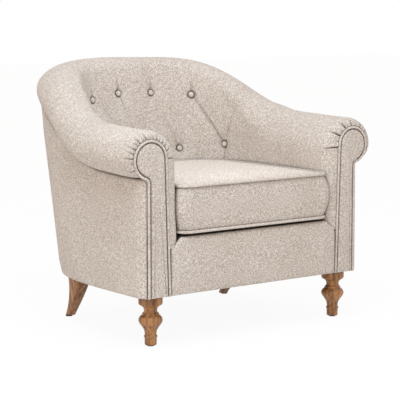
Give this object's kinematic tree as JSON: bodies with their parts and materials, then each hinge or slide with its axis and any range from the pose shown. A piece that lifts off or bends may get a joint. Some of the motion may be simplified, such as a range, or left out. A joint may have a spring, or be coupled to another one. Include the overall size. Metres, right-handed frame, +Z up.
{
  "type": "tufted armchair",
  "caption": "Upholstered armchair with a scooped buttoned back, rolled arms with scroll facings, a loose piped seat cushion, turned front legs and sabre rear legs.",
  "frame": {"origin": "on the floor, under the middle of the overall box", "axes": "+Z up, -Y towards the chair's front, +X to the right of someone who faces the chair's front"},
  "size_m": [0.887, 0.7676, 0.7609],
  "materials": {
    "upholstery_fabric": "matt woven",
    "foam": "matt",
    "frame_wood": "raw",
    "leg_wood": "satin stained",
    "zinc_steel": "plated",
    "spring_steel": "oiled",
    "felt": "matt",
    "platform_cloth": "matt",
    "webbing": "matt",
    "dust_cloth": "matt",
    "glide_plastic": "matt",
    "zip_tape": "matt",
    "zip_metal": "brushed"
  },
  "bodies": {
    "chair_body": {"arm_facing_left": "upholstery_fabric", "arm_facing_right": "upholstery_fabric", "arm_post_left": "frame_wood", "arm_post_right": "frame_wood", "arm_stay_rail_left": "frame_wood", "arm_stay_rail_right": "frame_wood", "arm_top_rail_left": "frame_wood", "arm_top_rail_right": "frame_wood", "back_stay_rail": "frame_wood", "back_top_rail": "frame_wood", "back_upright_left": "frame_wood", "back_upright_right": "frame_wood", "back_webbing": "webbing", "corner_block_screws": "zinc_steel", "corner_blocks": "frame_wood", "dust_cover": "dust_cloth", "facing_welt_left": "upholstery_fabric", "facing_welt_right": "upholstery_fabric", "foot_glides": "glide_plastic", "front_border": "upholstery_fabric", "front_leg_left": "leg_wood", "front_leg_right": "leg_wood", "front_seat_rail": "frame_wood", "inside_arm_cover_left": "upholstery_fabric", "inside_arm_cover_right": "upholstery_fabric", "inside_arm_foam_left": "foam", "inside_arm_foam_right": "foam", "inside_back_cover": "upholstery_fabric", "inside_back_foam": "foam", "leg_bolts": "zinc_steel", "leg_inserts": "zinc_steel", "outside_arm_cover_left": "upholstery_fabric", "outside_arm_cover_right": "upholstery_fabric", "outside_back_cover": "upholstery_fabric", "rear_leg_left": "leg_wood", "rear_leg_right": "leg_wood", "rear_seat_rail": "frame_wood", "seat_deck_pad": "platform_cloth", "seat_springs": "spring_steel", "side_seat_rail_left": "frame_wood", "side_seat_rail_right": "frame_wood", "spring_clips": "zinc_steel", "spring_insulator": "felt", "tufting_buttons": "upholstery_fabric"},
    "seat_cushion": {"cushion_bottom_panel": "upholstery_fabric", "cushion_boxing": "upholstery_fabric", "cushion_core": "foam", "cushion_top_panel": "upholstery_fabric", "cushion_welt_bottom": "upholstery_fabric", "cushion_welt_top": "upholstery_fabric", "cushion_zip_tape": "zip_tape"},
    "zip_slider": {"cushion_zip_slider": "zip_metal"}
  },
  "joints": [
    {"name": "cushion_lift", "type": "slide", "parent": "chair_body", "child": "seat_cushion", "axis": [0, 0, 1], "range_m": [0, 0.47]},
    {"name": "zip_slide", "type": "slide", "parent": "seat_cushion", "child": "zip_slider", "axis": [1, 0, 0], "range_m": [0, 0.206]}
  ]
}
